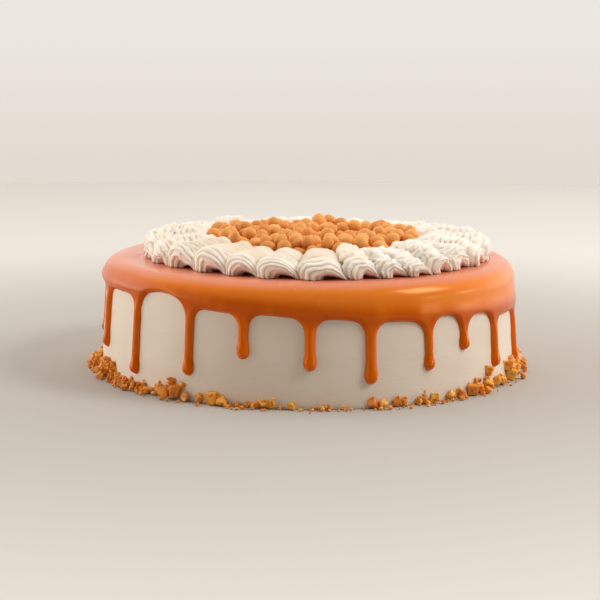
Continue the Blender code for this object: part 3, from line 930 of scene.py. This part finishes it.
# The bits that stand out in front: azimuth, distance out from the cream, half size, height
BIG_BITS = (
    (-82.0, 0.0012, 0.0036, 0.000),
    (-70.5, 0.0022, 0.0036, 0.000),
    (-67.0, 0.0006, 0.0038, 0.000),
    (-64.0, 0.0012, 0.0034, 0.000),
    (-51.5, 0.0002, 0.0026, 0.000),
    (-45.0, 0.0006, 0.0027, 0.000),
    (-38.8, 0.0012, 0.0050, 0.000),
    (-36.4, 0.0004, 0.0036, 0.0058),
    (-34.6, 0.0010, 0.0047, 0.000),
    (-33.0, 0.0004, 0.0028, 0.0062),
    (-31.4, 0.0010, 0.0029, 0.000),
    (-27.6, 0.0004, 0.0029, 0.000),
    (-23.6, 0.0006, 0.0042, 0.000),
    (-21.2, 0.0012, 0.0034, 0.000),
    (-12.6, 0.0000, 0.0025, 0.000),
    (-10.6, 0.0004, 0.0032, 0.000),
    (-8.8, 0.0008, 0.0024, 0.000),
    (-3.9, 0.0002, 0.0028, 0.000),
    (2.4, -0.0002, 0.0016, 0.000),
    (10.1, -0.0030, 0.0016, 0.0105),
    (16.0, 0.0000, 0.0034, 0.000),
    (18.6, 0.0008, 0.0026, 0.000),
    (22.0, 0.0002, 0.0030, 0.000),
    (24.3, 0.0008, 0.0025, 0.000),
    (30.5, 0.0002, 0.0027, 0.000),
    (33.5, 0.0008, 0.0030, 0.000),
    (38.2, 0.0008, 0.0034, 0.000),
    (41.8, 0.0002, 0.0030, 0.000),
    (46.5, 0.0012, 0.0041, 0.000),
    (49.6, 0.0006, 0.0037, 0.000),
    (53.4, 0.0012, 0.0048, 0.000),
    (54.6, 0.0002, 0.0034, 0.0082),
    (58.5, 0.0012, 0.0038, 0.000),
    (62.3, 0.0006, 0.0036, 0.000),
    (68.0, 0.0016, 0.0046, 0.000),
    (72.5, 0.0012, 0.0050, 0.000),
    (80.0, 0.0016, 0.0046, 0.000),
    (86.0, 0.0012, 0.0050, 0.000),
)
# From and to azimuth, height of the pile, usual half size of a bit, how many are dropped
BIT_PILES = (
    (-88.0, -75.0, 0.0105, 0.0024, 60),
    (-74.0, -61.0, 0.0125, 0.0028, 60),
    (-62.0, -41.0, 0.0066, 0.0021, 152),
    (-40.0, -33.0, 0.0060, 0.0022, 12),
    (-24.5, -8.0, 0.0035, 0.0015, 20),
    (0.0, 12.0, 0.0030, 0.0014, 16),
    (14.0, 25.0, 0.0050, 0.0020, 20),
    (26.0, 36.0, 0.0048, 0.0020, 24),
    (36.0, 44.0, 0.0065, 0.0024, 24),
    (45.0, 56.0, 0.0090, 0.0028, 32),
    (56.0, 63.0, 0.0075, 0.0028, 20),
    (63.0, 76.0, 0.0130, 0.0033, 60),
    (77.0, 91.0, 0.0125, 0.0034, 56),
    (92.0, 104.0, 0.0050, 0.0021, 24),
    (104.0, 120.0, 0.0080, 0.0030, 56),
    (120.0, 134.0, 0.0050, 0.0021, 32),
    (134.0, 148.0, 0.0085, 0.0031, 52),
    (149.0, 165.0, 0.0050, 0.0022, 32),
    (166.0, 181.0, 0.0100, 0.0032, 60),
    (182.0, 198.0, 0.0050, 0.0021, 32),
    (199.0, 213.0, 0.0080, 0.0030, 52),
    (214.0, 229.0, 0.0045, 0.0020, 32),
    (230.0, 246.0, 0.0085, 0.0031, 56),
    (247.0, 271.0, 0.0060, 0.0023, 60),
)
CRUMBS = 380
CRUMB_HEIGHT = 0.02  # no crumb lies higher
BIT_REACH = 0.0072  # how far out from the foot the bits lie
GATHERED = 1.8  # how strongly they gather against the cream
PILE_SLOPE = 0.70  # the piles are lower by this share at their outer edge
BIG_REST = 0.75  # a resting bit's middle stands this high, as a share of its half size
REST = 0.70
PACKING = 0.78  # and two that touch are this far apart, as a share of their half sizes
BLOCK_SIZE = 0.0019  # a bit with a larger half size is a block, and a smaller one a grain
BLOCK_LUMPS = 0.24
GRAIN_LUMPS = 0.20


def nugget(form, tint, spot, size, draw):
    """One broken bit, a knocked-about block or grain with worn edges, never below the floor."""
    if size > BLOCK_SIZE:
        made = bmesh.ops.create_cube(form, size=1.5 * size)["verts"]
        for vertex in made:
            vertex.co *= draw.uniform(0.62, 1.18)
            vertex.co.x *= draw.uniform(0.80, 1.15)
        edges = dict.fromkeys(edge for vertex in made for edge in vertex.link_edges)
        offset = size * draw.uniform(0.16, 0.30)
        result = bmesh.ops.bevel(
            form,
            geom=list(edges) + made,
            offset=offset,
            offset_type="OFFSET",
            segments=2,
            profile=0.5,
            affect="EDGES",
            clamp_overlap=True,
            material=-1,
        )
        made = list(dict.fromkeys(vertex for face in result["faces"] for vertex in face.verts))
        lumps = BLOCK_LUMPS
    else:
        made = bmesh.ops.create_icosphere(form, subdivisions=1, radius=size)["verts"]
        for vertex in made:
            vertex.co *= draw.uniform(0.72, 1.14)
        lumps = GRAIN_LUMPS
    stretch = Vector((draw.uniform(0.80, 1.15), draw.uniform(0.80, 1.15), draw.uniform(0.80, 1.05)))
    # a random tone for each bit, made darker towards the left: painted shade on the side of the cake
    # away from the main light
    shade = draw.random() * (0.75 + 0.25 * spot.x / CAKE_RADIUS)
    seed = spot * 400.0
    for vertex in made:
        lump = 1.0 + lumps * noise.noise(vertex.co / (size * 0.55) + seed)
        vertex.co = vertex.co * stretch * lump
        vertex[tint] = shade
    bmesh.ops.transform(form, matrix=Matrix.Translation(spot) @ any_turn(draw), verts=made)
    low = min(vertex.co.z for vertex in made)
    if low < 0.0:
        bmesh.ops.translate(form, vec=(0.0, 0.0, -low), verts=made)


def praline_bits(material):
    """Bits pressed to the foot of the cake: piles of nuggets, and crumbs between them."""
    draw = Random(31)
    form = bmesh.new()
    tint = form.verts.layers.float.new("tint")
    placed = []

    def drop(azimuth, away, size, ceiling):
        """Lower a bit onto the floor or the bits below it, against the cream."""
        radius = side_radius(0.0) + away
        spot = polar(azimuth, radius, 0.0)
        level = size * REST
        for other, other_size in placed:
            gap = (spot.xy - other.xy).length
            reach = PACKING * (size + other_size)
            if gap < reach:
                level = max(level, other.z + sqrt(reach * reach - gap * gap))
        if level + 0.8 * size > ceiling:
            return
        spot = polar(azimuth, radius - (side_radius(0.0) - side_radius(level)), level)
        placed.append((spot, size))
        nugget(form, tint, spot, size, draw)

    for azimuth, away, size, height in BIG_BITS:
        level = height + BIG_REST * size
        radius = side_radius(level) + away
        placed.append((polar(azimuth, radius, level), size))
        nugget(form, tint, placed[-1][0], size, draw)
    for start, end, height, size, count in BIT_PILES:
        middle = (start + end) / 2.0
        for _ in range(count):
            azimuth = draw.triangular(start, end, middle)
            away = BIT_REACH * draw.random() ** GATHERED
            slope = 1.0 - PILE_SLOPE * away / BIT_REACH
            drop(azimuth, away + 0.2 * size, size * draw.uniform(0.55, 1.20), height * slope)
    for _ in range(CRUMBS):
        azimuth = draw.uniform(-180.0, 180.0)
        weight = 0.30
        for start, end, _, _, _ in BIT_PILES:
            if abs(turn_between(azimuth, (start + end) / 2.0)) < (end - start) / 2.0 + 2.0:
                weight = 1.0
        if draw.random() < weight:
            drop(azimuth, BIT_REACH * draw.random(), draw.uniform(0.0005, 0.0012), CRUMB_HEIGHT)
    piece = add_piece("praline_bits", form, material, "toffee", "cake_body")
    piece.data.shade_flat()
    return piece


# ------------------------------------------------------------ camera and studio

# The camera, as fitted to the photograph; degrees
CAMERA_PLACE = Vector((0.00146, -0.8557, 0.1783))
CAMERA_PITCH = 9.355
CAMERA_YAW = -0.426
CAMERA_ROLL = 0.386
CAMERA_LENS = 87.85

FLOOR_REACH = 1.3
# painted shade: the floor is darker near the cake, as if shaded round its foot, so it also throws less
# light back onto it
FLOOR_SHADED_NEAR = (0.50, 0.470, 0.433)
FLOOR_FAR = (0.80, 0.775, 0.74)
FLOOR_SHADE_FADES = (0.15, 0.60)  # distances from the middle
BACKDROP = ((0.755, 0.703, 0.632), (0.84, 0.80, 0.755))  # just over the floor, and above that
DAYLIGHT = (1.0, 0.945, 0.875)
# Place, height of the point it faces, sides, watts, colour
SOFTBOXES = {
    "right_window": ((1.65, -0.48, 1.47), 0.06, (0.75, 0.75), 23.0, (1.0, 0.98, 0.95)),
    "low_window_1": ((1.83, -0.75, 0.26), 0.05, (0.25, 0.19), 1.4, (1.0, 0.96, 0.90)),
    "low_window_2": ((1.98, 0.09, 0.26), 0.05, (0.30, 0.19), 1.6, (1.0, 0.96, 0.90)),
    "left_window": ((-1.2, 0.35, 0.85), 0.04, (0.9, 0.9), 1.2, (1.0, 0.93, 0.84)),
    "overhead": ((0.0, -0.10, 1.6), 0.05, (1.5, 1.5), 6.3, (1.0, 0.97, 0.93)),
}


def set_camera():
    """The photograph's view."""
    data = bpy.data.cameras.new("camera")
    data.lens = CAMERA_LENS
    data.sensor_width = 36.0
    data.clip_start = 0.01
    camera = bpy.data.objects.new("camera", data)
    bpy.context.scene.collection.objects.link(camera)
    turn = Matrix.Rotation(radians(-CAMERA_YAW), 4, "Z")
    turn = turn @ Matrix.Rotation(radians(90.0 - CAMERA_PITCH), 4, "X")
    turn = turn @ Matrix.Rotation(radians(CAMERA_ROLL), 4, "Z")
    camera.matrix_world = Matrix.Translation(CAMERA_PLACE) @ turn
    bpy.context.scene.camera = camera


def softbox(name, place, aim, size, power, colour):
    """A rectangular lamp that faces a point over the middle of the floor."""
    data = bpy.data.lights.new(name, "AREA")
    data.shape = "RECTANGLE"
    data.size, data.size_y = size
    data.energy = power
    data.color = colour
    light = bpy.data.objects.new(name, data)
    bpy.context.scene.collection.objects.link(light)
    light.location = place
    facing = Vector((0.0, 0.0, aim)) - Vector(place)
    light.rotation_euler = facing.to_track_quat("-Z", "Y").to_euler()


def daylight():
    """Soft light all round: bright above, behind and to the sides, and dim in front.

    The sides are half as bright where something glossy mirrors them, and the camera sees a
    plain backdrop in place of the light."""
    world = bpy.data.worlds.new("studio")
    light = Graph(world, "Background")
    direction = light.node("ShaderNodeTexCoord", {}, {}, "Generated")
    x, y, z = (light.node("ShaderNodeSeparateXYZ", {}, {0: direction}, axis) for axis in "XYZ")
    low = light.span(z, 0.60, 0.05)
    above = light.span(z, 0.0, 0.9, 0.0, 0.48) * light.span(y, -0.7, 0.3, 0.15, 1.0)
    level = 0.03 + light.span(y, -0.1, 0.6) * (0.45 + 0.50 * low) + above
    level = level + light.span(y, 0.3, -0.6) * light.span(z, 0.45, 0.85) * 0.06
    right = light.span(x, 0.15, 0.9) * light.span(y, -0.35, 0.35)
    left = light.span(x, -0.2, -0.9) * (light.span(y, -0.75, -0.15) * light.span(y, 0.85, 0.25))
    sides = right * (0.55 + 1.05 * low) + left * (0.35 + 4.40 * low)
    mirrored = light.node("ShaderNodeLightPath", {}, {}, "Is Glossy Ray")
    level = level + sides * (1.0 - 0.5 * mirrored)
    seen = light.node("ShaderNodeLightPath", {}, {}, "Is Camera Ray")
    backdrop = light.mix(light.span(z, -0.09, 0.04), *BACKDROP)
    light.join(light.mix(seen, DAYLIGHT, backdrop), light.shader.inputs["Color"])
    light.join(level * (1.0 - seen) + seen, light.shader.inputs["Strength"])
    bpy.context.scene.world = world


def studio():
    """A pale floor under soft light from above, the sides and the back."""
    form = bmesh.new()
    bmesh.ops.create_circle(form, cap_ends=True, segments=96, radius=FLOOR_REACH)
    mesh = bpy.data.meshes.new("floor")
    form.to_mesh(mesh)
    form.free()
    paper = Finish("pale floor", roughness=0.9)
    measure = {"operation": "LENGTH"}
    away = paper.node("ShaderNodeVectorMath", measure, {0: paper.place()}, "Value")
    # painted shade round the cake: darker near the middle, paler further out
    tone = paper.mix(paper.span(away, *FLOOR_SHADE_FADES), FLOOR_SHADED_NEAR, FLOOR_FAR)
    mesh.materials.append(paper.finish(base_color=tone))
    floor = bpy.data.objects.new("floor", mesh)
    bpy.context.scene.collection.objects.link(floor)
    for name, lamp in SOFTBOXES.items():
        softbox(name, *lamp)
    daylight()
    bpy.context.scene.view_settings.view_transform = "Standard"


set_camera()
studio()
drips = all_drips()
cream_cake(smoothed_cream_finish())
poured_caramel(drips, caramel_finish())
piped_ring(piped_cream_finish())
toffee_balls(toffee_finish())
praline_bits(praline_finish())
